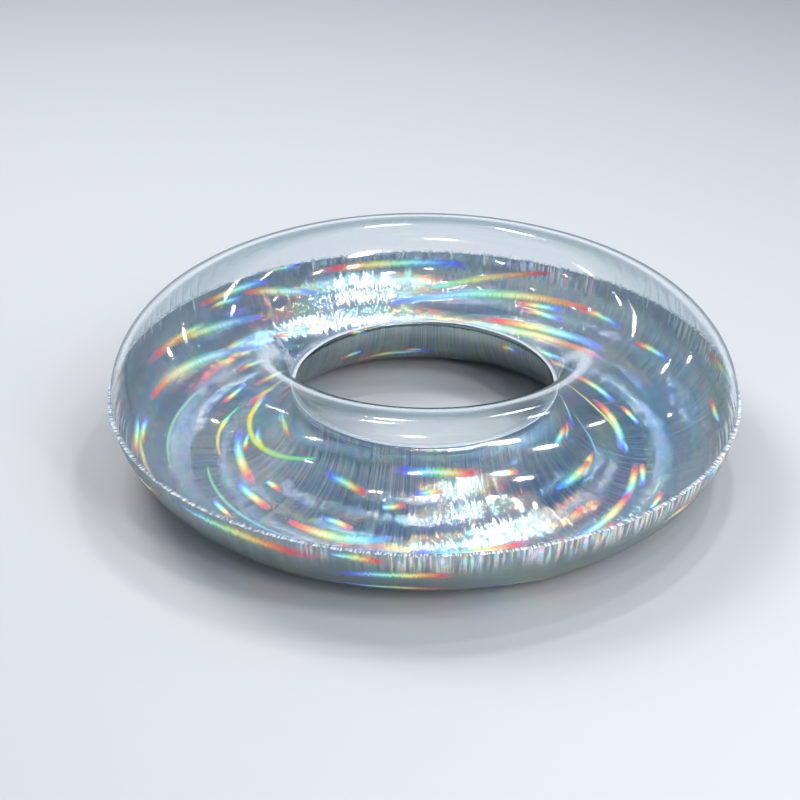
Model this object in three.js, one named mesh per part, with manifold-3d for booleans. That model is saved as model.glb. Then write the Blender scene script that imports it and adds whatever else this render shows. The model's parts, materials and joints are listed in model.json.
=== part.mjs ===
// Inflatable pool float: a swim ring of two annular vinyl films, welded together along their outer
// and inner edges, with a push-in inflation valve on the wall of the hole.
// Millimetres, +Z up. The origin is the centre of the hole, on the plane that the ring rests on.

import * as THREE from 'three';
import { mergeVertices } from 'three/addons/utils/BufferGeometryUtils.js';
import Module from 'manifold-3d';

const wasm = await Module();
wasm.setup();

// ---- Driving dimensions ----

const OUTER_DIAMETER = 1070;   // over the outer weld
const HOLE_DIAMETER = 442;     // between the edges of the inner weld
const HEIGHT = 265;            // inflated, standing on its flat
const FILM = 0.25;             // thickness of the vinyl
const WELD_WIDTH = 5;          // how far a weld stands out from the tube
const WELD_LAP = 2.5;          // how far it reaches in under the edges of the films
const WELD_THICKNESS = 0.6;
const GAP = 0.3;               // clearance between pieces that meet
const FACETS_AROUND = 48;
const WALL_STEP = 12;          // degrees of the tube's section between two facets

// The valve's own frame has +Z out of the film and +X down the wall, towards the inner weld.
const VALVE_ANGLE = 150;       // middle of a facet of the section: 90 is the top, 180 the inner weld
const FILM_HOLE_RADIUS = 8.5;
const FLANGE_RADIUS = 16;
const FLANGE_THICKNESS = 0.6;
const SKIRT_RADIUS = 8.1;
const SKIRT_THICKNESS = 0.5;
const SKIRT_MOUTH = -0.2;      // height of the skirt's open end
const STEM_RADIUS = 4.8;
const STEM_BORE = 3.4;
const STEM_END = -12.4;        // height of the stem's inner end while it is pushed in
const LIP_RADIUS = 6.5;
const LIP_TOP = 1.8;
const LIP_THICKNESS = 1.8;
const FLAP_RADIUS = 4;
const FLAP_THICKNESS = 0.4;
const FLAP_HINGE_X = -4.2;
const CAP_RADIUS = 6;
const CAP_THICKNESS = 2;
const STOPPER_ROOT_RADIUS = 3.1;
const STOPPER_TIP_RADIUS = 2.2;
const STOPPER_TIP = -3.5;      // height of the stopper's end
const STRAP_WIDTH = 4;
const STRAP_THICKNESS = 1.2;
const STRAP_HINGE_X = 12;      // where the strap folds back on itself
const TAB_LENGTH = 4.5;
const TAB_WIDTH = 5;
const TAB_THICKNESS = 1.2;
const VALVE_FACETS = 24;

// ---- Sizes that follow ----

const tubeCentre = (OUTER_DIAMETER + HOLE_DIAMETER) / 4;
const tubeHalfWidth = (OUTER_DIAMETER - HOLE_DIAMETER) / 4 - WELD_WIDTH;
const seamHeight = HEIGHT / 2;
// The facets at the very top and bottom are level, so the ring stands on a real flat.
const tubeHalfHeight = seamHeight / Math.cos(THREE.MathUtils.degToRad(WALL_STEP / 2));
const weldHalf = WELD_THICKNESS / 2;
const capBase = LIP_TOP + GAP;

// ---- Materials ----

const clearVinyl = () => new THREE.MeshStandardMaterial({
  color: 0xdfe9ee, roughness: 0.08, metalness: 0, transparent: true, opacity: 0.35,
});
const mirrorVinyl = () => new THREE.MeshStandardMaterial({ color: 0xa9b4c4, roughness: 0.18, metalness: 0.9 });
const softVinyl = () => new THREE.MeshStandardMaterial({
  color: 0xe6edf0, roughness: 0.25, metalness: 0, transparent: true, opacity: 0.6,
});

// ---- Helpers ----

function solidOf(geometry) {
  const plain = geometry.clone();
  plain.deleteAttribute('normal');
  plain.deleteAttribute('uv');
  const merged = mergeVertices(plain);
  const mesh = new wasm.Mesh({
    numProp: 3,
    vertProperties: new Float32Array(merged.attributes.position.array),
    triVerts: new Uint32Array(merged.index.array),
  });
  return new wasm.Manifold(mesh);
}

function geometryOf(solid) {
  const { vertProperties, triVerts } = solid.getMesh();
  const geometry = new THREE.BufferGeometry();
  geometry.setAttribute('position', new THREE.BufferAttribute(vertProperties, 3));
  geometry.setIndex(new THREE.BufferAttribute(triVerts, 1));
  geometry.computeVertexNormals();
  return geometry;
}

function node(name, geometry, material) {
  const mesh = new THREE.Mesh(geometry, material);
  mesh.name = name;
  return mesh;
}

// Turns a closed outline of [radius, height] points, given anticlockwise, about +Z.
function turned(outline, facets) {
  const points = [...outline, outline[0]].map(([radius, height]) => new THREE.Vector2(radius, height));
  return new THREE.LatheGeometry(points, facets).rotateX(Math.PI / 2);
}

// A round bar along +Z between two heights, which may taper.
function bar(lowRadius, highRadius, low, high, facets = VALVE_FACETS) {
  const length = high - low;
  return new THREE.CylinderGeometry(highRadius, lowRadius, length, facets)
    .rotateX(Math.PI / 2)
    .translate(0, 0, low + length / 2);
}

// A flat strip along X, centred on Y = 0.
function strip(fromX, toX, width, low, thickness) {
  return new THREE.BoxGeometry(toX - fromX, width, thickness)
    .translate((fromX + toX) / 2, 0, low + thickness / 2);
}

// ---- The tube ----

// A point of the tube's section: angle 0 is at the outer weld and 180 at the inner weld.
// side is 1 above the welds and -1 below them, and inset is a depth inside the film's outer face.
function wallPoint(angle, side, inset) {
  const turn = THREE.MathUtils.degToRad(angle);
  const radius = tubeCentre + (tubeHalfWidth - inset) * Math.cos(turn);
  const rise = Math.max((tubeHalfHeight - inset) * Math.sin(turn), weldHalf + GAP);
  return [radius, seamHeight + side * rise];
}

// One half of the tube's wall, between two depths.
function wallHalf(side, outerInset, innerInset) {
  const angles = Array.from({ length: 180 / WALL_STEP + 1 }, (_, step) => step * WALL_STEP);
  const outside = angles.map((angle) => wallPoint(angle, side, outerInset));
  const inside = angles.map((angle) => wallPoint(angle, side, innerInset)).reverse();
  const outline = [...outside, ...inside];
  return turned(side > 0 ? outline : outline.reverse(), FACETS_AROUND);
}

function weldBand(fromRadius, toRadius) {
  const low = seamHeight - weldHalf;
  const high = seamHeight + weldHalf;
  return turned([[fromRadius, low], [toRadius, low], [toRadius, high], [fromRadius, high]], FACETS_AROUND);
}

// ---- The valve's place ----

// The valve sits in the middle of a facet of the wall, on the -X side of the hole.
const [upperRadius, upperHeight] = wallPoint(VALVE_ANGLE - WALL_STEP / 2, 1, 0);
const [lowerRadius, lowerHeight] = wallPoint(VALVE_ANGLE + WALL_STEP / 2, 1, 0);
const valveFrame = new THREE.Group();
valveFrame.position.set(-(upperRadius + lowerRadius) / 2, 0, (upperHeight + lowerHeight) / 2);
valveFrame.rotation.y = Math.atan2(upperHeight - lowerHeight, upperRadius - lowerRadius);
valveFrame.updateMatrix();

// A round cutter through the film at the valve.
function valveCutter(radius) {
  const reach = 2 * FLANGE_RADIUS;
  return solidOf(bar(radius, radius, -reach, reach, 2 * VALVE_FACETS).applyMatrix4(valveFrame.matrix));
}

// ---- The film, its welds and the valve's flange ----

const topPanel = solidOf(wallHalf(1, 0, FILM)).subtract(valveCutter(FILM_HOLE_RADIUS));

// The flange is welded to the film's inner face, so it follows the wall.
const flangeDepth = FILM + GAP;
const flange = solidOf(wallHalf(1, flangeDepth, flangeDepth + FLANGE_THICKNESS))
  .intersect(valveCutter(FLANGE_RADIUS))
  .subtract(valveCutter(FILM_HOLE_RADIUS));

const outerRadius = OUTER_DIAMETER / 2;
const holeRadius = HOLE_DIAMETER / 2;
const outerWeld = weldBand(outerRadius - WELD_WIDTH - WELD_LAP, outerRadius);
const innerWeld = weldBand(holeRadius, holeRadius + WELD_WIDTH + WELD_LAP);

// ---- The valve's own pieces ----

// A soft cup around the stem, which rolls inside out when the stem is pulled up.
function skirt() {
  const inner = SKIRT_RADIUS - SKIRT_THICKNESS;
  const floorRadius = STEM_RADIUS + 2 * GAP;
  const floor = STEM_END - GAP;
  return turned([
    [floorRadius, floor - SKIRT_THICKNESS],
    [SKIRT_RADIUS, floor - SKIRT_THICKNESS],
    [SKIRT_RADIUS, SKIRT_MOUTH],
    [inner, SKIRT_MOUTH],
    [inner, floor],
    [floorRadius, floor],
  ], VALVE_FACETS);
}

// The mouthpiece: a short tube with a lip, and the root of the plug's strap on its lower side.
function stem() {
  const lipBase = LIP_TOP - LIP_THICKNESS;
  const tube = turned([
    [STEM_BORE, STEM_END],
    [STEM_RADIUS, STEM_END],
    [STEM_RADIUS, lipBase],
    [LIP_RADIUS, lipBase],
    [LIP_RADIUS, LIP_TOP],
    [STEM_BORE, LIP_TOP],
  ], VALVE_FACETS);
  const root = strip(LIP_RADIUS - 1, STRAP_HINGE_X, STRAP_WIDTH, LIP_TOP - STRAP_THICKNESS, STRAP_THICKNESS);
  return geometryOf(solidOf(tube).add(solidOf(root)));
}

// The thin disc that shuts the stem's inner end while the chamber is under pressure.
function checkFlap() {
  const top = STEM_END - GAP;
  return bar(FLAP_RADIUS, FLAP_RADIUS, top - FLAP_THICKNESS, top);
}

// The tapered stopper, its round cap and the tab that a finger pulls.
function plug() {
  const cap = bar(CAP_RADIUS, CAP_RADIUS, capBase, capBase + CAP_THICKNESS);
  const stopper = bar(STOPPER_TIP_RADIUS, STOPPER_ROOT_RADIUS, STOPPER_TIP, capBase + CAP_THICKNESS / 2);
  const tab = strip(-CAP_RADIUS - TAB_LENGTH, 1 - CAP_RADIUS, TAB_WIDTH, capBase, TAB_THICKNESS);
  return geometryOf(solidOf(cap).add(solidOf(stopper)).add(solidOf(tab)));
}

// The half of the strap that swings with the plug.
function plugStrap() {
  return strip(CAP_RADIUS + GAP, STRAP_HINGE_X - GAP, STRAP_WIDTH, capBase, STRAP_THICKNESS);
}

// ---- Assembly ----

valveFrame.add(
  node('valve_skirt', skirt(), softVinyl()),
  node('valve_stem', stem(), softVinyl()),
  node('check_flap', checkFlap(), softVinyl()),
  node('valve_plug', plug(), softVinyl()),
  node('plug_strap', plugStrap(), softVinyl()),
);

const poolFloat = new THREE.Group();
poolFloat.add(
  node('top_panel', geometryOf(topPanel), clearVinyl()),
  node('bottom_panel', wallHalf(-1, 0, FILM), mirrorVinyl()),
  node('outer_weld', outerWeld, clearVinyl()),
  node('inner_weld', innerWeld, clearVinyl()),
  node('valve_flange', geometryOf(flange), softVinyl()),
  valveFrame,
);

export default poolFloat;
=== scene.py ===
import json
import math
from collections import namedtuple

import bmesh
import bpy
import numpy as np
from mathutils import Matrix, Vector


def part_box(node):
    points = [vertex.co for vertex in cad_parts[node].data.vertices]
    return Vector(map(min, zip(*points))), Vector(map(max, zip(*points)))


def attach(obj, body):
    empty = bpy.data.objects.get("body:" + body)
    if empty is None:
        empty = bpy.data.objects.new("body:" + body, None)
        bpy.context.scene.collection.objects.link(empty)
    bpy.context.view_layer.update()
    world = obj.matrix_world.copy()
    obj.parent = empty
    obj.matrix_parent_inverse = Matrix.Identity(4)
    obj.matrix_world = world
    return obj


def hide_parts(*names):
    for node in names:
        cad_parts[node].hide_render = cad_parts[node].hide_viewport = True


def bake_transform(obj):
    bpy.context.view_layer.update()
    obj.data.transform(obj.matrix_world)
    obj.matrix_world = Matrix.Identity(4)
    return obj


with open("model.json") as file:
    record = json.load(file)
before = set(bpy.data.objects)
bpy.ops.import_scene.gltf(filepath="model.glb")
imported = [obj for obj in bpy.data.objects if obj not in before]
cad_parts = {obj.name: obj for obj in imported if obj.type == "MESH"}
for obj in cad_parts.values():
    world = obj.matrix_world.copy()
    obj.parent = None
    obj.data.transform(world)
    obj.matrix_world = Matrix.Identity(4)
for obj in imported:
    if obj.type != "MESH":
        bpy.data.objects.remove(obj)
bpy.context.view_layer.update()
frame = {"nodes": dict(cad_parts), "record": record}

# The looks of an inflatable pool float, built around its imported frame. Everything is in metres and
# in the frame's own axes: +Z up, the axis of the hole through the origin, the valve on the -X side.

rng = np.random.default_rng(42)


# ---- Measures taken from the frame ----

def radii(node):
    """Smallest and largest distance of a CAD node from the axis of the hole."""
    points = np.array([vertex.co[:] for vertex in frame["nodes"][node].data.vertices])
    distance = np.hypot(points[:, 0], points[:, 1])
    return float(distance.min()), float(distance.max())


HOLE_RADIUS = radii("inner_weld")[0]
RIM_RADIUS = radii("outer_weld")[1]
WALL_IN, WALL_OUT = radii("top_panel")
SEAM_HEIGHT = (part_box("outer_weld")[0][2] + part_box("outer_weld")[1][2]) / 2
TOP_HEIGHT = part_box("top_panel")[1][2]
TUBE_CENTRE = (WALL_IN + WALL_OUT) / 2
HALF_WIDTH = (WALL_OUT - WALL_IN) / 2
HALF_HEIGHT = TOP_HEIGHT - SEAM_HEIGHT

FILM = 0.00025                 # thickness of the vinyl
CONTACT_WIDTH = 0.032          # the level band that the ring rests on
WELD_THICKNESS = 0.0006
WELD_LAP = 0.0025              # how far a weld reaches in under the films' edges

joints = {joint["name"]: joint for joint in frame["record"]["behaviour"]["joints"]}


# ---- Camera ----

def make_camera():
    """The eye stands on the -Y side and looks down at the ring, a little off the picture's centre."""
    elevation = math.radians(28.5)
    roll = math.radians(0.72)
    distance = 5.56 * RIM_RADIUS
    data = bpy.data.cameras.new("camera")
    data.sensor_width = 36
    data.lens = 78.3
    data.shift_x = -0.0308
    data.shift_y = -0.0256
    camera = bpy.data.objects.new("camera", data)
    bpy.context.scene.collection.objects.link(camera)
    target = Vector((0, 0, SEAM_HEIGHT))
    away = Vector((0, -math.cos(elevation), math.sin(elevation)))
    turn = Matrix.Rotation(math.pi / 2 - elevation, 4, "X") @ Matrix.Rotation(roll, 4, "Z")
    camera.matrix_world = Matrix.Translation(target + distance * away) @ turn
    bpy.context.scene.camera = camera


make_camera()


# ---- Mesh helpers ----

def add_piece(name, points, faces, uv=None):
    """A smooth mesh object. uv is one (u, v) for each vertex, with u going once around the ring."""
    mesh = bpy.data.meshes.new(name)
    mesh.from_pydata([tuple(p) for p in points], [], faces)
    mesh.polygons.foreach_set("use_smooth", [True] * len(mesh.polygons))
    if uv is not None:
        write_uv(mesh, np.asarray(uv))
    mesh.update()
    piece = bpy.data.objects.new(name, mesh)
    bpy.context.scene.collection.objects.link(piece)
    return piece


def write_uv(mesh, uv):
    """Writes the UV map "film", mending the faces that cross the join where u goes from 1 to 0."""
    corner = np.empty(len(mesh.loops), int)
    mesh.loops.foreach_get("vertex_index", corner)
    start = np.empty(len(mesh.polygons), int)
    mesh.polygons.foreach_get("loop_start", start)
    count = np.diff(np.append(start, len(corner)))
    u = uv[corner, 0]
    highest = np.repeat(np.maximum.reduceat(u, start), count)
    u = np.where(highest - u > 0.5, u + 1, u)
    layer = mesh.uv_layers.new(name="film")
    layer.data.foreach_set("uv", np.column_stack([u, uv[corner, 1]]).ravel().astype(np.float32))


def on_circle(radius, turns, height):
    """Points at the given radius, turns and height. Each may be one number or one for each point."""
    height = np.broadcast_to(height, np.shape(turns))
    return np.column_stack([radius * np.cos(turns), radius * np.sin(turns), height])


def even_turns(count):
    """So many turns around the ring, in radians, evenly spaced."""
    return np.arange(count) * 2 * math.pi / count


def strip_faces(low, high):
    """Faces between two closed rows of vertices. The first may have 3 times as many as the second."""
    ratio = len(low) // len(high)
    count = len(high)
    faces = []
    for i in range(count):
        after = (i + 1) % count
        edge = [low[(ratio * i + k) % len(low)] for k in range(ratio + 1)]
        faces.append(tuple(int(v) for v in edge + [high[after], high[i]]))
    return faces


def flipped(faces):
    return [face[::-1] for face in faces]


def rounded(outline, radius, steps=5):
    """The outline with each corner replaced by an arc. Points on the axis of turning stay."""
    longest_share = 0.45           # of each side that one corner may take
    result = []
    count = len(outline)
    for i, corner in enumerate(outline):
        here = np.array(corner, float)
        if corner[0] < 1e-9:
            result.append(tuple(here))
            continue
        before = np.array(outline[i - 1], float) - here
        after = np.array(outline[(i + 1) % count], float) - here
        length_before, length_after = np.linalg.norm(before), np.linalg.norm(after)
        before, after = before / length_before, after / length_after
        half = math.acos(max(-1.0, min(1.0, float(before @ after)))) / 2
        reach = min(radius / math.tan(half), longest_share * length_before, longest_share * length_after)
        for k in range(steps + 1):
            t = k / steps
            bend = (1 - t) ** 2 * (before * reach) + t ** 2 * (after * reach)
            result.append(tuple(here + bend))
    return result


def turned(outline, segments=96):
    """Points and faces of an outline of (radius, height), turned about +Z.
    It is given anticlockwise. It closes on itself, or starts and ends on the axis."""
    points, rows = [], []
    for radius, height in outline:
        turns = [0.0] if radius < 1e-9 else even_turns(segments)
        rows.append(list(range(len(points), len(points) + len(turns))))
        points += [(radius * math.cos(a), radius * math.sin(a), height) for a in turns]
    pairs = list(zip(rows, rows[1:]))
    if len(rows[0]) > 1:
        pairs.append((rows[-1], rows[0]))
    faces = []
    for low, high in pairs:
        for i in range(segments):
            after = (i + 1) % segments
            if len(low) == 1:
                faces.append((low[0], high[after], high[i]))
            elif len(high) == 1:
                faces.append((low[i], low[after], high[0]))
            else:
                faces.append((low[i], low[after], high[after], high[i]))
    return points, faces


def apply_modifiers(piece):
    """Makes what the modifiers show the piece's own mesh."""
    seen = piece.evaluated_get(bpy.context.evaluated_depsgraph_get())
    mesh = bpy.data.meshes.new_from_object(seen)
    piece.modifiers.clear()
    piece.data = mesh


def weld_slivers(mesh, closest=1e-6):
    """Merges the points that a cut left on top of each other, so that no face has no area."""
    work = bmesh.new()
    work.from_mesh(mesh)
    bmesh.ops.remove_doubles(work, verts=work.verts, dist=closest)
    bmesh.ops.dissolve_degenerate(work, edges=work.edges, dist=closest)
    work.to_mesh(mesh)
    work.free()


def cut(piece, cutter, operation="DIFFERENCE"):
    """Cuts piece by the object cutter, or joins them, and removes the cutter."""
    modifier = piece.modifiers.new("cut", "BOOLEAN")
    modifier.operation = operation
    modifier.solver = "EXACT"
    modifier.object = cutter
    bpy.context.view_layer.update()
    apply_modifiers(piece)
    weld_slivers(piece.data)
    bpy.data.objects.remove(cutter)


# ---- The gathers along the outer weld ----

FINE_COLUMNS = 1920            # around the ring, where the film is puckered
COARSE_COLUMNS = FINE_COLUMNS // 3
GATHERS = 320                  # puckers around the outer weld


def drift(turns, waves, strength):
    """A smooth random function around the ring, of a few low waves."""
    total = np.zeros_like(turns)
    for wave in waves:
        height = rng.normal()
        phase = rng.uniform(0, 2 * math.pi)
        total += height * np.cos(wave * turns + phase) / math.sqrt(len(waves))
    return strength * total


class Gathers:
    """Where the puckers are, and how strong, as functions of the turn around the ring."""

    def __init__(self):
        self.turns = even_turns(FINE_COLUMNS)
        spacing = drift(self.turns, range(3, 40, 4), 0.9) + drift(self.turns, range(41, 90, 6), 0.22)
        self.phase = GATHERS * self.turns / (2 * math.pi) + spacing
        self.strength = np.clip(0.8 + drift(self.turns, range(5, 60, 5), 0.35), 0.25, 1.5)
        self.flutter = np.clip(1 + drift(self.turns, range(4, 50, 5), 0.45), 0.2, 2)

    def humps(self, every):
        """Rounded humps between sharp grooves, one groove at every so many gathers, with mean 0."""
        return np.abs(np.sin(math.pi * self.phase / every)) - 0.64

    def weave(self, every):
        """A wave to both sides of the seam, half a wave in every so many gathers."""
        return self.flutter * np.sin(math.pi * self.phase / every)


gathers = Gathers()


def swell(distance, peak):
    """Rises from 0 at the weld to 1 at the distance peak, and fades beyond it."""
    return distance / peak * np.exp(1 - distance / peak)


def make_creases(count):
    """The longer folds that run away from the weld: turn, length, depth, width and slant of each."""
    places = rng.choice(GATHERS // 2, count, replace=False) * 2
    return [
        {
            "turn": float(np.interp(place, gathers.phase, gathers.turns)),
            "length": rng.uniform(0.014, 0.05),
            "depth": rng.uniform(0.0010, 0.0022),
            "width": rng.uniform(0.0020, 0.0038),
            "slant": rng.normal(0, 0.12),
        }
        for place in places
    ]


# The puckers merge as they leave the weld: how many gathers make one, how high it stands, and the
# distance from the weld where it is highest.
PUCKER_SIZES = [(1, 0.0007, 0.004), (2, 0.0008, 0.010), (4, 0.0009, 0.022)]


def puckers(turns, distance, creases, columns):
    """How far the film stands out from the smooth tube, at a distance from the outer weld."""
    step = FINE_COLUMNS // columns
    strength = gathers.strength[::step]
    rise = np.zeros_like(turns)
    for every, height, peak in PUCKER_SIZES:
        rise = rise + height * strength * gathers.humps(every)[::step] * swell(distance, peak)
    for crease in creases:
        centre = crease["turn"] + crease["slant"] * distance / WALL_OUT
        across = np.angle(np.exp(1j * (turns - centre))) * WALL_OUT
        fade = np.clip(1 - distance / crease["length"], 0, 1) ** 0.7
        groove = np.exp(-((across / crease["width"]) ** 2))
        rise = rise - crease["depth"] * groove * fade * np.clip(distance / 0.003, 0, 1)
    return rise


def make_waves(count, around_range, across_range, height):
    """Shallow waves over a film: how many around, how fast across, where, and how high."""
    return [
        {
            "around": int(rng.integers(*around_range)),
            "across": rng.uniform(*across_range),
            "phase": rng.uniform(0, 2 * math.pi),
            "height": rng.normal(0, height / math.sqrt(count)),
        }
        for _ in range(count)
    ]


WAVES = {
    "top": make_waves(8, (2, 14), (-26, 26), 0.0003),
    "bottom": (make_waves(10, (3, 24), (-30, 30), 0.0010)
               + make_waves(16, (28, 75), (-70, 70), 0.00026)),
}


def undulation(turns, distance, film):
    """The uneven drape of a film that isn't blown up quite drum-tight. It starts beside the weld."""
    total = np.zeros_like(turns)
    for wave in WAVES[film]:
        total += wave["height"] * np.cos(wave["around"] * turns + wave["across"] * distance + wave["phase"])
    return total * min(1, distance / 0.02)


# ---- The films ----

ROWS = 42                      # from the outer weld to the inner one
FINE_ROWS = 14                 # of these, next to the outer weld, at the fine spacing
CROWDING = 1.5                 # 1 would space the rows evenly
INNER_GATHERS = 96             # faint puckers around the inner weld


def half_section():
    """Section angles of the rows, crowded towards the outer weld, and their distances from it."""
    angle = np.linspace(0, math.pi, 4001)
    steps = np.hypot(np.diff(HALF_WIDTH * np.cos(angle)), np.diff(HALF_HEIGHT * np.sin(angle)))
    along = np.concatenate([[0], np.cumsum(steps)])
    distance = along[-1] * (np.arange(ROWS + 1) / ROWS) ** CROWDING
    return np.interp(distance, along, angle), distance


SECTION_ANGLES, SECTION_DISTANCES = half_section()
WALL_LENGTH = SECTION_DISTANCES[-1]


class Valve:
    """The valve's own frame: +Z out of the film, +X down the wall, origin on the film."""
    hinge = (0.012, 0.00195)   # where the strap folds, in its X and Z

    def __init__(self):
        self.out = Vector(joints["stem_pull"]["axis"]).normalized()
        self.across = Vector((0, 1, 0))
        self.down = self.across.cross(self.out)
        fold = Vector(joints["plug_open"]["pos_m"])
        self.origin = fold - self.hinge[0] * self.down - self.hinge[1] * self.out

    def local(self, points):
        return (points - np.array(self.origin)) @ np.array([self.down, self.across, self.out]).T

    def world(self, points):
        return np.array(points) @ np.array([self.down, self.across, self.out]) + np.array(self.origin)


valve = Valve()
FILM_HOLE_RADIUS = 0.0085
FLANGE_RADIUS = 0.016


def flattened_at_valve(points, depth):
    """The stiff flange holds the film flat around the valve."""
    reach = 2.3 * FLANGE_RADIUS
    fade = 1.2 * FLANGE_RADIUS
    local = valve.local(points)
    distance = np.hypot(local[:, 0], local[:, 1])
    near = np.clip((reach - distance) / fade, 0, 1)
    near = near * near * (3 - 2 * near) * (np.abs(local[:, 2]) < FLANGE_RADIUS)
    local[:, 2] = local[:, 2] * (1 - near) - depth * near
    return valve.world(local)


def weld_wave(columns):
    """How far the outer weld weaves up and down."""
    return 0.0003 * gathers.weave(2)[::FINE_COLUMNS // columns]


def film_row(row, side, columns, creases):
    """Points of one row of the film's outer face, and the outward directions there."""
    turns = even_turns(columns)
    angle = SECTION_ANGLES[row]
    distance = SECTION_DISTANCES[row]
    to_inner = WALL_LENGTH - distance
    # Below, the oval is a little deeper, and the floor cuts it off at the level band.
    deeper = 1 / math.sqrt(1 - (CONTACT_WIDTH / 2 / HALF_WIDTH) ** 2)
    half_height = HALF_HEIGHT * (deeper if side < 0 else 1)
    normal = np.array([math.cos(angle) / HALF_WIDTH, side * math.sin(angle) / half_height])
    normal /= np.linalg.norm(normal)
    rise = puckers(turns, distance, creases, columns)
    rise = rise + 0.0002 * math.exp(-to_inner / 0.008) * np.cos(INNER_GATHERS * turns)
    rise = rise + undulation(turns, distance, "top" if side > 0 else "bottom") * min(1, to_inner / 0.03)
    radius = TUBE_CENTRE + HALF_WIDTH * math.cos(angle) + normal[0] * rise
    lift = max(half_height * math.sin(angle), WELD_THICKNESS / 2)
    height = SEAM_HEIGHT + side * lift + normal[1] * rise
    height = np.maximum(height + weld_wave(columns) * math.exp(-distance / 0.01), 0)
    return on_circle(radius, turns, height), on_circle(normal[0], turns, normal[1]), turns


def make_film(name, side, creases):
    """One half of the tube's wall as a closed shell, from the outer weld to the inner one."""
    rows, points, uv = {}, [], []
    count = 0
    for layer in ("outer", "inner"):
        rows[layer] = []
        for row in range(ROWS + 1):
            columns = FINE_COLUMNS if row <= FINE_ROWS else COARSE_COLUMNS
            face, outward, turns = film_row(row, side, columns, creases)
            if layer == "inner":
                face = face - FILM * outward
                face[:, 2] = np.maximum(face[:, 2], FILM)
            if side > 0:
                face = flattened_at_valve(face, FILM if layer == "inner" else 0)
            rows[layer].append(np.arange(count, count + columns))
            count += columns
            points.append(face)
            over = np.full(columns, SECTION_DISTANCES[row] / WALL_LENGTH)
            uv.append(np.column_stack([turns / (2 * math.pi), over]))
    outside, inside = [], []
    for row in range(ROWS):
        outside += strip_faces(rows["outer"][row], rows["outer"][row + 1])
        inside += strip_faces(rows["inner"][row], rows["inner"][row + 1])
    ends = strip_faces(rows["inner"][0], rows["outer"][0])
    ends += strip_faces(rows["outer"][-1], rows["inner"][-1])
    faces = outside + flipped(inside) + ends
    if side < 0:
        faces = flipped(faces)
    film = add_piece(name, np.concatenate(points), faces, np.concatenate(uv))
    half = len(film.data.vertices) // 2
    outside_mark = film.data.attributes.new("outside", "FLOAT", "POINT")
    outside_mark.data.foreach_set("value", np.repeat([1.0, 0.0], half).astype(np.float32))
    return film


top_film = make_film("top_film", 1, make_creases(70))
bottom_film = make_film("bottom_film", -1, make_creases(90))


# ---- The welds ----

def band(name, ordered):
    """A ring whose section is the closed list of rows, given anticlockwise."""
    columns = len(ordered[0])
    rows = [np.arange(k * columns, (k + 1) * columns) for k in range(len(ordered))]
    faces = []
    for k in range(len(rows)):
        faces += strip_faces(rows[k], rows[(k + 1) % len(rows)])
    u = np.tile(np.arange(columns) / columns, len(rows))
    v = np.repeat(np.arange(len(rows)) / len(rows), columns)
    return add_piece(name, np.concatenate(ordered), faces, np.column_stack([u, v]))


def make_outer_weld():
    """The fused rim: a thin band with a fluttering, scalloped edge."""
    stations = np.array([-WELD_LAP, 0, 0.001, 0.002, 0.003, 0.004, 0.0047])
    width = RIM_RADIUS - WALL_OUT
    turns = gathers.turns
    scallop = 0.0007 * gathers.strength * (0.36 - gathers.humps(1))
    flutter = 0.0007 * gathers.weave(1)
    wave = weld_wave(FINE_COLUMNS)
    layers = {1: [], -1: []}
    for side in layers:
        for station in stations:
            out = max(station, 0) / width
            half = WELD_THICKNESS / 2 * (1 - 0.35 * out)
            height = SEAM_HEIGHT + wave + flutter * out ** 1.5 + side * half
            layers[side].append(on_circle(WALL_OUT + station - scallop * out ** 2, turns, height))
    tip = on_circle(RIM_RADIUS - scallop, turns, SEAM_HEIGHT + wave + flutter)
    return band("outer_weld_rim", layers[-1] + [tip] + layers[1][::-1])


def make_inner_weld():
    """The fused edge of the hole, pulled taut and nearly smooth."""
    turns = even_turns(COARSE_COLUMNS)
    wave = 0.00025 * np.sin(INNER_GATHERS * turns + 2 * np.sin(7 * turns)) + 0.0003 * np.sin(11 * turns)
    width = WALL_IN - HOLE_RADIUS
    half = WELD_THICKNESS / 2
    middle = WALL_IN - width / 2
    bead = HOLE_RADIUS + 0.0004
    outline = [
        (WALL_IN + WELD_LAP, -half), (WALL_IN + WELD_LAP, half), (WALL_IN, half), (middle, 0.9 * half),
        (bead, 0.7 * half), (HOLE_RADIUS, 0), (bead, -0.7 * half), (middle, -0.9 * half), (WALL_IN, -half),
    ]
    ordered = []
    for radius, rise in outline:
        out = np.clip((WALL_IN - radius) / width, 0, 1)
        ordered.append(on_circle(radius, turns, SEAM_HEIGHT + rise + wave * out))
    return band("inner_weld_edge", ordered)


outer_weld = make_outer_weld()
inner_weld = make_inner_weld()


# ---- The valve ----

# Its measures are in millimetres, in the valve's frame, with the stem pushed in.
FLANGE_HOLE = 8.6
FLANGE_LOW, FLANGE_HIGH = -0.95, -0.35
WELD_RINGS = (14.5, 10.5)      # radii of the raised rings on the flange
STEM_BORE = 3.4
STEM_RADIUS = 4.6
STEM_FOOT = 4.9                # radius of the thicker inner end, where the flap is seated
STEM_END = -12.4
LIP_RADIUS = 6.5
LIP_LOW, LIP_HIGH = 0.1, 1.8
FLAP_RADIUS = 4.0
FLAP_LOW, FLAP_HIGH = -13.1, -12.7
STOPPER_END = -3.5
CAP_RADIUS = 6.0
CAP_LOW, CAP_HIGH = 2.1, 4.1
TAB_WIDTH = 5
TAB_RIBS = (-7.0, -8.0, -9.0)  # where the ribs cross the tab
STRAP_WIDTH = 4


def valve_piece(name, outline, corner=0.0002):
    """A turned piece of the valve with soft corners. The corner's radius is in metres."""
    metres = [(radius / 1000, height / 1000) for radius, height in outline]
    points, faces = turned(rounded(metres, corner))
    return add_piece(name, valve.world(points), faces)


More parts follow.
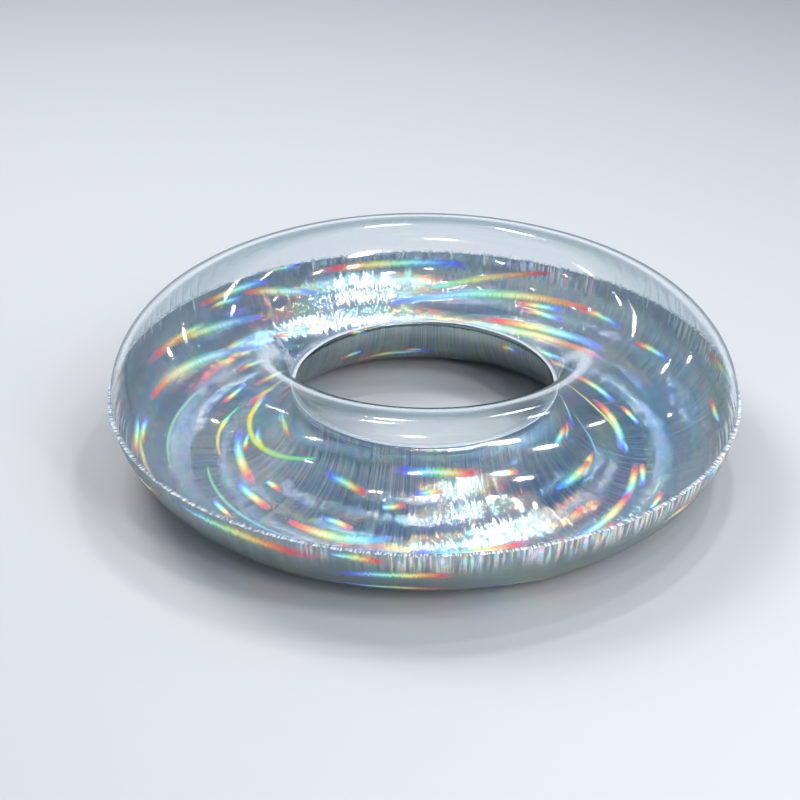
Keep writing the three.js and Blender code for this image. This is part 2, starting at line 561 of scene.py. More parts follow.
def strip_piece(name, plan, low, high):
    """A flat soft strip between two heights. Its plan is in the valve's X and Y, anticlockwise."""
    inset = 0.2
    count = len(plan)
    centre = np.mean(plan, axis=0)
    spokes = [np.array(corner) - centre for corner in plan]
    shrunk = [tuple(centre + spoke - inset * spoke / np.linalg.norm(spoke)) for spoke in spokes]
    levels = [(shrunk, low), (plan, low + inset), (plan, high - inset), (shrunk, high)]
    points = [(x / 1000, y / 1000, z / 1000) for ring, z in levels for x, y in ring]
    faces = [tuple(range(count))[::-1], tuple(range(3 * count, 4 * count))]
    for level in range(3):
        for i in range(count):
            after = (i + 1) % count
            base = level * count
            faces.append((base + i, base + after, base + count + after, base + count + i))
    return add_piece(name, valve.world(points), faces)


def capsule(from_x, to_x, width, steps=12):
    """A strip's plan with a round end at to_x."""
    half = width / 2
    way = 1 if to_x > from_x else -1
    arc = [(to_x - way * half + way * half * math.cos(a), half * math.sin(a))
           for a in np.linspace(-math.pi / 2, math.pi / 2, steps)]
    plan = [(from_x, -half)] + arc + [(from_x, half)]
    return plan if way > 0 else plan[::-1]


def rectangle(from_x, to_x, width):
    """A strip's plan with square ends."""
    half = width / 2
    return [(from_x, -half), (to_x, -half), (to_x, half), (from_x, half)]


def make_flange():
    """The disc welded under the film, with two raised weld rings."""
    rim = 1000 * FLANGE_RADIUS
    outline = [(FLANGE_HOLE, FLANGE_LOW), (rim, FLANGE_LOW), (rim, FLANGE_HIGH)]
    for ring in WELD_RINGS:
        raised = FLANGE_HIGH + 0.07
        outline += [(ring + 0.5, FLANGE_HIGH), (ring + 0.3, raised), (ring - 0.3, raised),
                    (ring - 0.5, FLANGE_HIGH)]
    outline.append((FLANGE_HOLE, FLANGE_HIGH))
    return valve_piece("valve_base", outline, corner=0.00008)


def make_skirt():
    """The soft cup from the flange to the stem's foot, which on the real valve rolls inside out when the
    stem is pulled up; here it keeps its pushed-in shape.
    """
    middle = [(8.3, -0.7), (8.0, -3.5), (7.7, -8.0), (7.2, -11.6), (6.5, -13.0), (5.7, -13.1), (5.25, -12.3)]
    half = 0.22
    outer, inner = [], []
    for i, (radius, height) in enumerate(middle):
        before, after = middle[max(i - 1, 0)], middle[min(i + 1, len(middle) - 1)]
        along = np.array([after[0] - before[0], after[1] - before[1]])
        normal = np.array([-along[1], along[0]]) / np.linalg.norm(along)
        outer.append((radius + half * normal[0], height + half * normal[1]))
        inner.append((radius - half * normal[0], height - half * normal[1]))
    outline = outer + inner[::-1]
    return valve_piece("valve_bellows", outline[::-1], corner=0.0006)


def make_stem():
    """The mouthpiece tube, with a soft lip and the root of the strap."""
    mouthpiece = valve_piece("valve_mouthpiece", [
        (STEM_BORE, STEM_END), (STEM_FOOT, STEM_END), (STEM_FOOT, STEM_END + 1.2),
        (STEM_RADIUS, STEM_END + 1.6), (STEM_RADIUS, -1.2), (STEM_RADIUS + 0.2, LIP_LOW),
        (LIP_RADIUS, LIP_LOW), (LIP_RADIUS, LIP_HIGH), (STEM_BORE, LIP_HIGH),
    ], corner=0.0004)
    cut(mouthpiece, strip_piece("strap_root", capsule(5.6, 12.6, STRAP_WIDTH), 0.6, LIP_HIGH), "UNION")
    return mouthpiece


def make_flap():
    """The thin disc that shuts the stem's inner end."""
    return valve_piece("valve_flap", [
        (0, FLAP_LOW), (FLAP_RADIUS, FLAP_LOW), (FLAP_RADIUS, FLAP_HIGH), (0, FLAP_HIGH),
    ])


def make_plug():
    """A tapered stopper with a bead, a dished round cap and a ribbed pull tab."""
    stopper = valve_piece("stopper", [
        (0, STOPPER_END), (2.2, STOPPER_END), (2.35, -2.6), (2.55, -2.2), (2.45, -1.6), (3.05, 2.0),
        (CAP_RADIUS, CAP_LOW), (CAP_RADIUS, 3.9), (5.4, CAP_HIGH), (4.6, 3.75), (0, 3.65),
    ], corner=0.0003)
    cut(stopper, strip_piece("tab", capsule(-5.2, -10.5, TAB_WIDTH), 2.15, 3.3), "UNION")
    for place in TAB_RIBS:
        rib = strip_piece("rib", rectangle(place - 0.2, place + 0.2, 3.2), 3.0, 3.55)
        cut(stopper, rib, "UNION")
    return stopper


def make_strap():
    """The half of the strap that swings with the plug, and the bead that it folds at."""
    half_strip = strip_piece("strap", rectangle(5.5, 12.3, STRAP_WIDTH), CAP_LOW, 3.2)
    end = STRAP_WIDTH / 2 + 0.05
    bead_points, bead_faces = turned(rounded([(0, -end), (1.0, -end), (1.0, end), (0, end)], 0.3), 32)
    hinge_x, hinge_z = 1000 * valve.hinge[0], 1000 * valve.hinge[1]
    # The bead is turned about Z and lies along Y.
    laid = [((x + hinge_x) / 1000, -z / 1000, (y + hinge_z) / 1000) for x, y, z in bead_points]
    cut(half_strip, add_piece("bead", valve.world(laid), bead_faces), "UNION")
    return half_strip


def cut_film_hole():
    """The hole in the upper film, under the flange."""
    deep = 0.01
    points, faces = turned([(0, -deep), (FILM_HOLE_RADIUS, -deep), (FILM_HOLE_RADIUS, deep), (0, deep)])
    cut(top_film, add_piece("film_hole", valve.world(points), faces))


flange = make_flange()
skirt = make_skirt()
stem = make_stem()
flap = make_flap()
plug = make_plug()
strap = make_strap()
cut_film_hole()


# ---- Material helpers ----

WHITE = (1.0, 1.0, 1.0, 1)
MILKY_WHITE_AND_HIGHLIGHT = (0.97, 0.98, 1.0, 1)    # milky white of the welds and of strained vinyl, and the colour of painted highlights on folds, edges and wrinkles


class Graph:
    """A node material, wired in few words."""

    def __init__(self, name):
        self.material = bpy.data.materials.new(name)
        self.material.use_nodes = True
        self.tree = self.material.node_tree
        self.tree.nodes.clear()

    def add(self, kind, inputs=None, **settings):
        node = self.tree.nodes.new("ShaderNode" + kind)
        for key, value in settings.items():
            setattr(node, key, value)
        for key, value in (inputs or {}).items():
            self.fill(node.inputs[key], value)
        return node

    def fill(self, socket, value):
        """Links another node's output to the socket, or writes a constant into it."""
        if isinstance(value, bpy.types.NodeSocket):
            self.tree.links.new(value, socket)
        else:
            socket.default_value = value

    def math(self, operation, *values):
        return self.add("Math", dict(enumerate(values)), operation=operation).outputs[0]

    def times(self, first, *others):
        for other in others:
            first = self.math("MULTIPLY", first, other)
        return first

    def plus(self, first, *others):
        for other in others:
            first = self.math("ADD", first, other)
        return first

    def minus(self, a, b):
        return self.math("SUBTRACT", a, b)

    def rest(self, value):
        """What is left of 1."""
        return self.math("SUBTRACT", 1.0, value)

    def vector(self, operation, *values):
        return self.add("VectorMath", dict(enumerate(values)), operation=operation).outputs[0]

    def scaled(self, vector, scale):
        return self.add("VectorMath", {0: vector, "Scale": scale}, operation="SCALE").outputs[0]

    def leaning(self, normal, aside):
        """The normal, leant by the vector aside."""
        return self.vector("NORMALIZE", self.vector("ADD", normal, aside))

    def combine(self, x, y, z):
        return self.add("CombineXYZ", {0: x, 1: y, 2: z}).outputs[0]

    def noise(self, vector, scale=1.0, detail=2.0):
        return self.add("TexNoise", {"Vector": vector, "Scale": scale, "Detail": detail}).outputs["Fac"]

    def between(self, value, low, high):
        """0 at low, 1 at high, smooth between. low may be the greater of the two."""
        inputs = {"Value": value, "From Min": low, "From Max": high}
        return self.add("MapRange", inputs, interpolation_type="SMOOTHSTEP").outputs[0]

    def mix_colour(self, factor, a, b, blend="MIX"):
        node = self.add("Mix", data_type="RGBA", blend_type=blend)
        factor_socket, a_socket, b_socket = node.inputs[0], node.inputs[6], node.inputs[7]
        self.fill(factor_socket, factor)
        self.fill(a_socket, a)
        self.fill(b_socket, b)
        return node.outputs[2]

    def ramp(self, factor, stops):
        """The colour and the alpha of a colour ramp."""
        node = self.add("ValToRGB", {"Fac": factor})
        elements = node.color_ramp.elements
        while len(elements) < len(stops):
            elements.new(0.5)
        for element, (position, colour) in zip(elements, stops):
            element.position = position
            element.color = colour
        return node.outputs["Color"], node.outputs["Alpha"]

    def rainbow(self, value, repeats, stops):
        """The ramp's colours, run through so many times as value goes from 0 to 1."""
        return self.ramp(self.math("FRACT", self.times(value, repeats)), stops)[0]

    def bump(self, height, strength, distance):
        inputs = {"Strength": strength, "Distance": distance, "Height": height}
        return self.add("Bump", inputs).outputs[0]

    def mix_shader(self, factor, a, b):
        return self.add("MixShader", {0: factor, 1: a, 2: b}).outputs[0]

    def finish(self, surface):
        self.add("OutputMaterial", {"Surface": surface})
        return self.material


# Where on a film a point is: the turn around the ring from 0 to 1, the cosine and sine of that turn,
# and the distance from the outer weld as a share of the film's width.
FilmPlace = namedtuple("FilmPlace", "turn cosine sine over")


def film_place(g):
    uv = g.add("UVMap", uv_map="film").outputs[0]
    parts = g.add("SeparateXYZ", {0: uv})
    turn, over = parts.outputs[0], parts.outputs[1]
    angle = g.times(turn, 2 * math.pi)
    return FilmPlace(turn, g.math("COSINE", angle), g.math("SINE", angle), over)


def film_noise(g, place, along, across, detail=2.0):
    """Noise that closes on itself around the ring, with so many cells along the ring and across it."""
    vector = g.combine(g.times(place.cosine, along), g.times(place.sine, along), g.times(place.over, across))
    return g.noise(vector, detail=detail)


# ---- The streaks of colour: painted diffraction highlights ----

# The colours of a painted diffraction streak in order, and how strong each is.
SPECTRUM = [
    (0.00, (0.40, 0.10, 0.90, 0.0)),
    (0.16, (0.10, 0.12, 1.00, 0.9)),
    (0.30, (0.08, 0.45, 1.00, 1.0)),
    (0.40, (0.10, 0.90, 1.00, 1.0)),
    (0.50, (0.15, 1.00, 0.30, 1.0)),
    (0.60, (1.00, 0.95, 0.06, 1.0)),
    (0.71, (1.00, 0.42, 0.03, 1.0)),
    (0.84, (1.00, 0.05, 0.10, 0.9)),
    (1.00, (0.90, 0.04, 0.20, 0.0)),
]

# The layers of short painted streaks of diffracted light: how many cells around the ring and over the film,
# how far the layer is shifted around the ring, the share of its cells that hold a streak, and how wide a
# streak is.
SHORT_STREAKS = [
    (24.0, 14.0, 0.37, 0.14, 0.13),
    (14.0, 11.0, 0.13, 0.22, 0.13),
    (8.0, 9.0, 0.61, 0.26, 0.12),
]


def streaks(g, place, grain, around_count, over_count, shift, share, width):
    """Separate short painted streaks of diffracted light, one in each chosen cell: colour, and how much of
    it shows.
    Each streak is a slightly bent line along the ring that runs once through the spectrum, with a painted
    white highlight in its middle.
    The grain of the film frays its edges."""
    shifted = g.math("FRACT", g.plus(place.turn, shift))
    cell_place = g.combine(g.times(shifted, around_count), g.times(place.over, over_count), 0.0)
    inputs = {"Vector": cell_place, "Scale": 1.0, "Randomness": 0.85}
    nearest = g.add("TexVoronoi", inputs, voronoi_dimensions="2D")
    second = g.add("TexVoronoi", inputs, voronoi_dimensions="2D", feature="F2")
    border = g.minus(second.outputs["Distance"], nearest.outputs["Distance"])
    chance = g.add("SeparateColor", {0: nearest.outputs["Color"]})
    offset = g.add("SeparateXYZ", {0: g.vector("SUBTRACT", cell_place, nearest.outputs["Position"])})
    along, across = offset.outputs[0], offset.outputs[1]
    slant = g.times(g.minus(chance.outputs[1], 0.5), 0.9)
    bend = g.times(g.minus(chance.outputs[2], 0.5), 1.6)
    line = g.plus(g.times(slant, along), g.times(bend, g.times(along, along)))
    frayed = g.times(g.minus(grain, 0.5), 1.6 * width)
    away = g.math("ABSOLUTE", g.minus(across, g.plus(line, frayed)))
    glow = g.rest(g.between(away, 0.35 * width, 1.9 * width))
    core = g.rest(g.between(away, 0.0, 0.7 * width))
    hue, presence = g.ramp(g.plus(g.times(along, 1.15), 0.5), SPECTRUM)
    middle = g.rest(g.between(g.math("ABSOLUTE", along), 0.0, 0.30))
    colour = g.mix_colour(g.times(core, middle), hue, WHITE)
    chosen = g.math("LESS_THAN", chance.outputs[0], share)
    # No streak crosses the place where the turn starts again, or the border of its cell.
    clear_of_join = g.between(g.math("MINIMUM", shifted, g.rest(shifted)), 0.0, 0.02)
    clear_of_border = g.between(border, 0.0, 0.15)
    return colour, g.times(glow, presence, chosen, clear_of_join, clear_of_border)


# The long painted streaks of diffracted light: where each starts and ends, as a turn in degrees and a share
# of the film's width from the outer weld, how far its middle bows towards the outer weld, the stretch of the
# spectrum that it runs through, its width in millimetres, how white its middle is as a painted highlight,
# and how strong it is.
LONG_STREAKS = [
    ((136, 0.555), (226, 0.875), 0.03, (0.70, 0.48), 14, 0.0, 1.0),
    ((158, 0.545), (188, 0.560), 0.02, (0.46, 0.72), 9, 0.0, 0.9),
    ((157, 0.350), (193, 0.360), 0.01, (0.54, 0.46), 9, 0.0, 0.5),
    ((190, 0.505), (239, 0.550), 0.02, (0.54, 0.34), 10, 0.0, 0.6),
    ((44, 0.560), (4, 0.560), -0.02, (0.72, 0.52), 8, 0.0, 0.9),
    ((13, 0.790), (-13, 0.670), 0.01, (0.50, 0.30), 10, 0.0, 0.7),
    ((-15, 0.700), (-40, 0.725), 0.00, (0.90, 0.16), 20, 0.6, 1.0),
    ((228, 0.606), (262, 0.655), 0.02, (0.90, 0.18), 24, 0.5, 1.0),
    ((100, 0.240), (50, 0.140), 0.02, (0.12, 0.88), 20, 0.5, 1.0),
    ((88, 0.330), (42, 0.325), 0.00, (0.20, 0.90), 22, 0.6, 1.0),
    ((172, 0.222), (132, 0.324), 0.03, (0.90, 0.12), 24, 0.7, 1.0),
    ((154, 0.125), (128, 0.190), 0.00, (0.80, 0.12), 22, 0.8, 1.0),
    ((183, 0.234), (208, 0.300), 0.02, (0.50, 0.86), 14, 0.0, 0.9),
    ((90, 0.168), (62, 0.030), 0.00, (0.40, 0.88), 16, 0.3, 1.0),
    ((132, 0.062), (114, 0.146), 0.00, (0.90, 0.12), 20, 0.9, 1.0),
]


def long_streak(g, place, grain, start, end, bow, hues, width, whiteness, strength):
    """One long painted streak of diffracted light, whitened in the middle as a painted highlight: its
    colour, and how much of it shows.
    """
    middle_turn = (start[0] + end[0]) / 720
    half_turn = (end[0] - start[0]) / 720
    beside = g.minus(g.math("FRACT", g.plus(place.turn, 1.5 - middle_turn)), 0.5)
    along = g.math("DIVIDE", beside, half_turn)
    square = g.times(along, along)
    middle_over = (start[1] + end[1]) / 2 - bow
    line = g.plus(g.times(along, (end[1] - start[1]) / 2), g.plus(g.times(square, bow), middle_over))
    share = width / 1000 / WALL_LENGTH
    frayed = g.times(g.minus(grain, 0.5), 0.4 * share)
    away = g.math("ABSOLUTE", g.minus(place.over, g.plus(line, frayed)))
    window = g.math("MAXIMUM", g.rest(square), 0.0)
    breadth = g.times(g.plus(0.35, g.times(window, 0.65)), share / 2)
    ratio = g.math("DIVIDE", away, breadth)
    glow = g.rest(g.between(ratio, 0.15, 1.3))
    core = g.times(g.rest(g.between(ratio, 0.0, 0.6)), whiteness)
    hue = g.ramp(g.plus((hues[0] + hues[1]) / 2, g.times(along, (hues[1] - hues[0]) / 2)), SPECTRUM)[0]
    colour = g.mix_colour(g.times(core, g.between(window, 0.6, 0.95)), hue, WHITE)
    ends = g.between(window, 0.0, 0.25)
    combed = g.plus(0.75 * strength, g.times(g.between(grain, 0.36, 0.58), 0.25 * strength))
    return colour, g.times(glow, ends, combed)


# ---- The vinyls ----

def painted_fold_highlights(g, place, longest):
    """Painted highlights where the short folds next to the outer weld catch the light. longest is a share of
    the film.
    """
    comb = film_noise(g, place, 95.0, 1.5, detail=1.0)
    reach = film_noise(g, place, 60.0, 0.0, detail=0.0)
    length = g.plus(0.015, g.times(g.between(reach, 0.45, 0.75), longest))
    fade = g.rest(g.between(g.math("DIVIDE", place.over, length), 0.4, 1.0))
    return g.times(g.between(comb, 0.58, 0.68), fade, 0.7)


def silver(g, place):
    """The silver's colour, from slate blue to violet grey to pale silver, with a pastel shimmer."""
    cloud = film_noise(g, place, 1.5, 4.0, detail=4.0)
    tone = g.ramp(cloud, [
        (0.32, (0.20, 0.40, 0.58, 1)), (0.43, (0.30, 0.48, 0.64, 1)), (0.51, (0.48, 0.54, 0.68, 1)),
        (0.59, (0.50, 0.66, 0.74, 1)), (0.70, (0.80, 0.88, 0.92, 1)),
    ])[0]
    pastel = g.rainbow(film_noise(g, place, 2.4, 10.0), 6.0, [
        (0.0, (0.72, 0.40, 0.78, 1)), (0.25, (0.36, 0.42, 1.00, 1)), (0.5, (0.30, 0.80, 0.90, 1)),
        (0.75, (0.85, 0.82, 0.42, 1)), (1.0, (0.72, 0.40, 0.78, 1)),
    ])
    return g.mix_colour(0.20, tone, pastel)


def painted_sheen_patches(g, place):
    """Along the outer weld, painted pastel sheen stands for the light that the crushed film breaks into
    colour,
    in patches strongest at the front right: their colour, and how much of it shows."""
    beside_weld = g.rest(g.between(place.over, 0.02, 0.13))
    favoured = g.minus(g.times(place.cosine, 0.28), g.times(place.sine, 0.12))
    patches = g.between(g.plus(film_noise(g, place, 3.5, 2.0), favoured), 0.53, 0.67)
    comb = g.between(film_noise(g, place, 80.0, 6.0), 0.35, 0.62)
    sheen = g.rainbow(film_noise(g, place, 12.0, 8.0), 5.0, [
        (0.0, (1.00, 0.62, 0.74, 1)), (0.25, (0.98, 0.95, 1.00, 1)), (0.45, (0.62, 0.74, 1.00, 1)),
        (0.62, (0.55, 1.00, 0.88, 1)), (0.8, (1.00, 0.86, 0.42, 1)), (1.0, (1.00, 0.62, 0.74, 1)),
    ])
    return sheen, g.times(beside_weld, patches, comb, 0.9)


def mirror_vinyl():
    """Silver film with a fine embossed grating: blue-grey, with painted diffraction highlights, streaks of
    pure colour along the ring.
    """
    g = Graph("mirror_vinyl")
    place = film_place(g)
    colour = silver(g, place)

    # Fine wrinkles that run straight across the film, strongest towards the hole.
    wrinkle = film_noise(g, place, 50.0, 2.0, detail=3.0)
    hair = film_noise(g, place, 120.0, 3.0, detail=3.0)
    grain = film_noise(g, place, 300.0, 4.0)
    # Painted light and shade of the wrinkles: dark and pale lines laid over the colour, stronger towards the
    # hole. The bump below gives the real relief.
    wrinkle_shading_strength = g.plus(0.25, g.times(g.between(place.over, 0.30, 0.80), 0.45))
    painted_wrinkle_lines = g.ramp(hair, [
        (0.34, (0.12, 0.12, 0.13, 1)), (0.50, (0.5, 0.5, 0.5, 1)), (0.66, MILKY_WHITE_AND_HIGHLIGHT),
    ])[0]
    colour = g.mix_colour(wrinkle_shading_strength, colour, painted_wrinkle_lines, "OVERLAY")
    relief = g.bump(g.plus(wrinkle, g.times(hair, 0.6)), 0.6, 0.0008)
    tangent = g.add("Tangent", direction_type="RADIAL", axis="Z").outputs[0]
    # Each fine line also leans a little towards or away from the hole, which frays the reflections.
    lean = g.times(g.minus(hair, 0.5), 0.35)
    normal = g.leaning(relief, g.scaled(g.vector("CROSS_PRODUCT", relief, tangent), lean))
    roughness = g.plus(0.13, g.times(wrinkle, 0.12))

    # From outside the silver is seen through the vinyl itself, which greys it.
    outside = g.add("Attribute", attribute_name="outside").outputs["Fac"]
    colour = g.mix_colour(outside, colour, g.mix_colour(1.0, colour, (0.42, 0.50, 0.50, 1), "MULTIPLY"))

    # The painted pastel sheen, the painted diffraction streaks and the painted highlights on the short folds
    # that hang from the outer weld.
    # They scatter more light than the silver does.
    layers = [painted_sheen_patches(g, place)]
    layers += [streaks(g, place, grain, *measures) for measures in SHORT_STREAKS]
    layers += [long_streak(g, place, grain, *measures) for measures in LONG_STREAKS]
    layers.append((MILKY_WHITE_AND_HIGHLIGHT, g.times(painted_fold_highlights(g, place, 0.07), g.rest(g.times(outside, 0.65)))))
    scattered = 0.0
    for hue, amount in layers:
        colour = g.mix_colour(amount, colour, hue)
        scattered = g.math("MAXIMUM", scattered, amount)

    body = g.add("BsdfPrincipled", {
        "Base Color": colour, "Metallic": g.times(g.rest(scattered), 0.92), "Roughness": roughness,
        "Normal": normal, "Anisotropic": 0.15, "Tangent": tangent,
    }).outputs[0]
    dispersed = g.minus(0.30, g.times(scattered, 0.26))
    return g.finish(g.mix_shader(dispersed, body, grating_glints(g, normal, tangent)))


def grating_glints(g, normal, tangent):
    """Diffracted copies of each light, one for each colour, to both sides along the ring."""
    orders = [
        ((0.16, 0.20, 1.00, 1), 0.075), ((0.08, 0.85, 1.00, 1), 0.105), ((0.15, 1.00, 0.20, 1), 0.135),
        ((1.00, 0.90, 0.08, 1), 0.165), ((1.00, 0.35, 0.05, 1), 0.195), ((1.00, 0.05, 0.10, 1), 0.225),
    ]
    lobes = []
    for colour, tilt in orders:
        for way in (1, -1):
            aside = g.leaning(normal, g.scaled(tangent, way * tilt))
            inputs = {"Color": colour, "Roughness": 0.12, "Normal": aside}
            lobes.append(g.add("BsdfAnisotropic", inputs).outputs[0])
    total = lobes[0]
    for count, lobe in enumerate(lobes[1:], start=2):
        total = g.mix_shader(1 / count, total, lobe)
    return total


def clear_vinyl():
    """Glass-clear film: faint blue, dark where it is seen edge on, with sharp reflections, and painted
    highlights on its turning edges and on the folds beside the outer weld.
    """
    g = Graph("clear_vinyl")
    place = film_place(g)
    wave = film_noise(g, place, 9.0, 6.0)
    crinkle = film_noise(g, place, 110.0, 5.0)
    relief = g.bump(g.plus(wave, g.times(crinkle, 0.05)), 0.25, 0.002)
    facing = g.add("LayerWeight", {"Blend": 0.5}).outputs["Facing"]
    tint = g.ramp(facing, [
        (0.00, (0.992, 0.998, 1.00, 1)), (0.48, (0.978, 0.990, 0.995, 1)), (0.60, (0.84, 0.89, 0.90, 1)),
        (0.66, (0.86, 0.90, 0.92, 1)), (0.74, (0.94, 0.96, 0.975, 1)), (0.79, (0.93, 0.96, 0.975, 1)),
        (0.86, (0.64, 0.72, 0.76, 1)), (0.93, (0.36, 0.43, 0.48, 1)), (1.00, (0.22, 0.28, 0.32, 1)),
    ])[0]
    through = g.add("BsdfTransparent", {"Color": tint}).outputs[0]
    gloss = g.add("BsdfAnisotropic", {"Color": WHITE, "Roughness": 0.08, "Normal": relief}).outputs[0]
    reflected = g.plus(0.035, g.times(g.math("POWER", facing, 4.0), 0.50))
    film = g.mix_shader(reflected, through, gloss)
    painted_highlight_white = g.add("BsdfPrincipled", {"Base Color": MILKY_WHITE_AND_HIGHLIGHT, "Roughness": 0.15}).outputs[0]
    # A painted highlight: a bright line runs beside the dark one wherever the wall turns away.
    edge = g.times(g.between(facing, 0.70, 0.77), g.rest(g.between(facing, 0.80, 0.86)), 0.28)
    # Painted highlights where the short folds beside the outer weld catch the light.
    painted_fold_glints = g.times(painted_fold_highlights(g, place, 0.015), 0.25)
    return g.finish(g.mix_shader(g.math("MAXIMUM", painted_fold_glints, edge), film, painted_highlight_white))


def weld_vinyl(name, unevenness):
    """The fused films: milky white, darker grey in the grooves between the ribs, with patches of faint
    colour.
    """
    g = Graph(name)
    place = film_place(g)
    pastel = g.rainbow(film_noise(g, place, 9.0, 0.5, detail=3.0), 6.0, [
        (0.0, (0.95, 0.62, 0.80, 1)), (0.3, (0.62, 0.72, 1.00, 1)), (0.55, (0.62, 0.98, 0.92, 1)),
        (0.8, (1.00, 0.92, 0.55, 1)), (1.0, (0.95, 0.62, 0.80, 1)),
    ])
    ribs = film_noise(g, place, 190.0, 1.0)
    groove = g.times(g.between(ribs, 0.56, 0.46), unevenness)
    colour = g.mix_colour(groove, MILKY_WHITE_AND_HIGHLIGHT, (0.30, 0.34, 0.38, 1))
    colour = g.mix_colour(0.25, colour, pastel, "MULTIPLY")
    shader = g.add("BsdfPrincipled", {
        "Base Color": colour, "Metallic": 0.2, "Roughness": 0.25, "Normal": g.bump(ribs, 0.7, 0.0006),
    }).outputs[0]
    return g.finish(shader)


def soft_vinyl():
    """The valve's moulding: thick clear vinyl, a little milky."""
    g = Graph("soft_vinyl")
    haze = g.noise(g.add("TexCoord").outputs["Object"], scale=350.0, detail=3.0)
    facing = g.add("LayerWeight", {"Blend": 0.45}).outputs["Facing"]
    tint = g.mix_colour(facing, (0.86, 0.92, 0.95, 1), (0.45, 0.55, 0.62, 1))
    body = g.add("BsdfPrincipled", {
        "Base Color": (0.85, 0.91, 0.95, 1), "Roughness": 0.18, "Normal": g.bump(haze, 0.2, 0.0002),
        "Coat Weight": 0.3,
    }).outputs[0]
    through = g.add("BsdfTransparent", {"Color": tint}).outputs[0]
    return g.finish(g.mix_shader(g.plus(0.30, g.times(haze, 0.15)), through, body))


# ---- The pieces, their materials and their bodies ----

def dress(piece, material):
    piece.data.materials.clear()
    piece.data.materials.append(material)


clear = clear_vinyl()
mirror = mirror_vinyl()
soft = soft_vinyl()
puckered_weld = weld_vinyl("puckered_weld", 1.0)
smooth_weld = weld_vinyl("smooth_weld", 0.3)

PIECES = [
    (top_film, clear, "clear_film", "top_panel"),
    (bottom_film, mirror, "mirror_film", "bottom_panel"),
    (outer_weld, puckered_weld, "weld", "outer_weld"),
    (inner_weld, smooth_weld, "weld", "inner_weld"),
    (flange, soft, "soft_vinyl", "valve_flange"),
    (skirt, soft, "soft_vinyl", "valve_skirt"),
    (stem, soft, "soft_vinyl", "valve_stem"),
    (flap, soft, "soft_vinyl", "check_flap"),
    (plug, soft, "soft_vinyl", "valve_plug"),
    (strap, soft, "soft_vinyl", "plug_strap"),
]
for piece, material, slot, node in PIECES:
    dress(piece, material)
    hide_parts(node)

for piece in (top_film, bottom_film, outer_weld, inner_weld, flange):
    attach(piece, "ring")
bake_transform(skirt)
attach(stem, "stem")
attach(flap, "flap")
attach(plug, "plug")
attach(strap, "plug")


# ---- Stage ----

def make_floor():
    g = Graph("floor")
    grain = g.noise(g.add("TexCoord").outputs["Object"], scale=40.0, detail=3.0)
    colour = g.mix_colour(g.times(grain, 0.04), (0.53, 0.535, 0.54, 1), (0.49, 0.50, 0.51, 1))
    shader = g.add("BsdfPrincipled", {"Base Color": colour, "Roughness": 0.6}).outputs[0]
    half = 10.0
    corners = [(-half, -half, 0), (half, -half, 0), (half, half, 0), (-half, half, 0)]
    floor = add_piece("floor", corners, [(0, 1, 2, 3)])
    dress(floor, g.finish(shader))


def add_lamp(name, place, size, watts, colour=(1, 1, 1), target=(0, 0, 0.1), tall=1):
    """A round lamp, or an upright oval one that is tall times as high as it is wide."""
    data = bpy.data.lights.new(name, "AREA")
    data.shape = "ELLIPSE"
    data.size = size
    data.size_y = tall * size
    data.energy = watts
    data.color = colour
    lamp = bpy.data.objects.new(name, data)
    lamp.location = place
    lamp.rotation_euler = (Vector(target) - Vector(place)).to_track_quat("-Z", "Y").to_euler()
    bpy.context.scene.collection.objects.link(lamp)
    return lamp


def film_point(turn, section):
    """A place on the smooth tube and its outward normal. Both angles in degrees;
    section is 0 at the outer weld, 90 at the top, -90 at the floor."""
    turn, section = math.radians(turn), math.radians(section)
    radius = TUBE_CENTRE + HALF_WIDTH * math.cos(section)
    place = Vector((radius * math.cos(turn), radius * math.sin(turn),
                    SEAM_HEIGHT + HALF_HEIGHT * math.sin(section)))
    slope = math.cos(section) / HALF_WIDTH
    normal = Vector((slope * math.cos(turn), slope * math.sin(turn), math.sin(section) / HALF_HEIGHT))
    return place, normal.normalized()


GLINT_DISTANCE = 3.2           # from the film to each small lamp
GLINT_WATTS = 260              # of a lamp one metre wide with brightness 1


def add_glint(name, turn, section, size, brightness, tall=1):
    """A small lamp where the film mirrors it into the camera from the given place on the tube."""
    place, normal = film_point(turn, section)
    to_eye = (bpy.context.scene.camera.matrix_world.translation - place).normalized()
    to_lamp = 2 * to_eye.dot(normal) * normal - to_eye
    watts = GLINT_WATTS * brightness * tall * size ** 2
    add_lamp(name, place + GLINT_DISTANCE * to_lamp, size, watts, target=place, tall=tall)


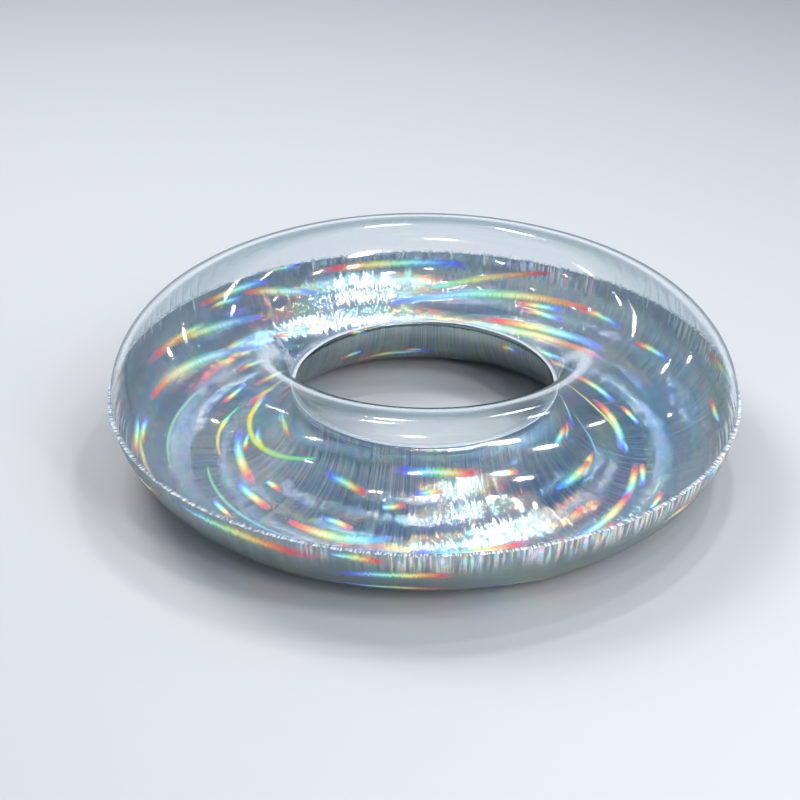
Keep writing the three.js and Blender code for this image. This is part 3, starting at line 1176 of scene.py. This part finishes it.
# Where on the tube each small lamp is mirrored, as a turn and a section, its size and its brightness.
GLINTS = [
    (108, -33, 0.16, 1.0), (113, -56, 0.27, 1.0), (88, -40, 0.12, 1.0), (84, -66, 0.10, 0.7),
    (134, -50, 0.12, 0.8), (62, -52, 0.10, 0.8), (262, -142, 0.12, 0.8), (282, -146, 0.20, 1.0),
    (284, -132, 0.18, 1.0), (294, -120, 0.20, 1.0), (160, -40, 0.08, 0.4), (152, -66, 0.08, 0.6),
    (20, -44, 0.08, 0.4), (30, -72, 0.08, 0.6), (250, 122, 0.09, 0.6), (300, 126, 0.09, 0.6),
    (143, -34, 0.07, 0.6), (169, -76, 0.07, 0.6), (193, -100, 0.07, 0.6), (235, -100, 0.07, 0.6),
    (249, -130, 0.08, 0.8), (336, -108, 0.07, 0.6), (354, -78, 0.07, 0.6), (44, -40, 0.08, 0.8),
    (92, -26, 0.08, 0.8),
]


def make_lights():
    """Two broad lamps light the scene softly and aren't mirrored. The small ones give the glints."""
    key = add_lamp("key_light", (-1.9, 1.6, 3.4), 2.0, 105, (1.0, 0.99, 0.97))
    fill = add_lamp("fill_light", (2.6, -2.0, 2.6), 2.0, 50, (0.93, 0.97, 1.0))
    for lamp in (key, fill):
        lamp.visible_glossy = False
    for number, measures in enumerate(GLINTS):
        add_glint(f"glint_{number}", *measures)
    add_glint("column_of_light", 286, -152, 0.10, 0.8, tall=10)


def make_world():
    """A studio that is pale on one side and low down, and blue overhead."""
    world = bpy.data.worlds.new("studio")
    world.use_nodes = True
    tree = world.node_tree
    background = tree.nodes["Background"]
    direction = tree.nodes.new("ShaderNodeTexCoord")
    height = tree.nodes.new("ShaderNodeVectorMath")
    height.operation = "DOT_PRODUCT"
    height.inputs[1].default_value = (0.30, -0.05, 0.95)
    ramp = tree.nodes.new("ShaderNodeValToRGB")
    pale, blue = ramp.color_ramp.elements
    pale.position = 0.0
    pale.color = (0.72, 0.77, 0.82, 1)
    blue.position = 0.75
    blue.color = (0.16, 0.25, 0.41, 1)
    tree.links.new(direction.outputs["Generated"], height.inputs[0])
    tree.links.new(height.outputs["Value"], ramp.inputs[0])
    tree.links.new(ramp.outputs[0], background.inputs["Color"])
    background.inputs["Strength"].default_value = 0.75
    bpy.context.scene.world = world


make_floor()
make_lights()
make_world()
scene = bpy.context.scene
scene.view_settings.view_transform = "Standard"
scene.cycles.transparent_max_bounces = 32
scene.cycles.max_bounces = 10
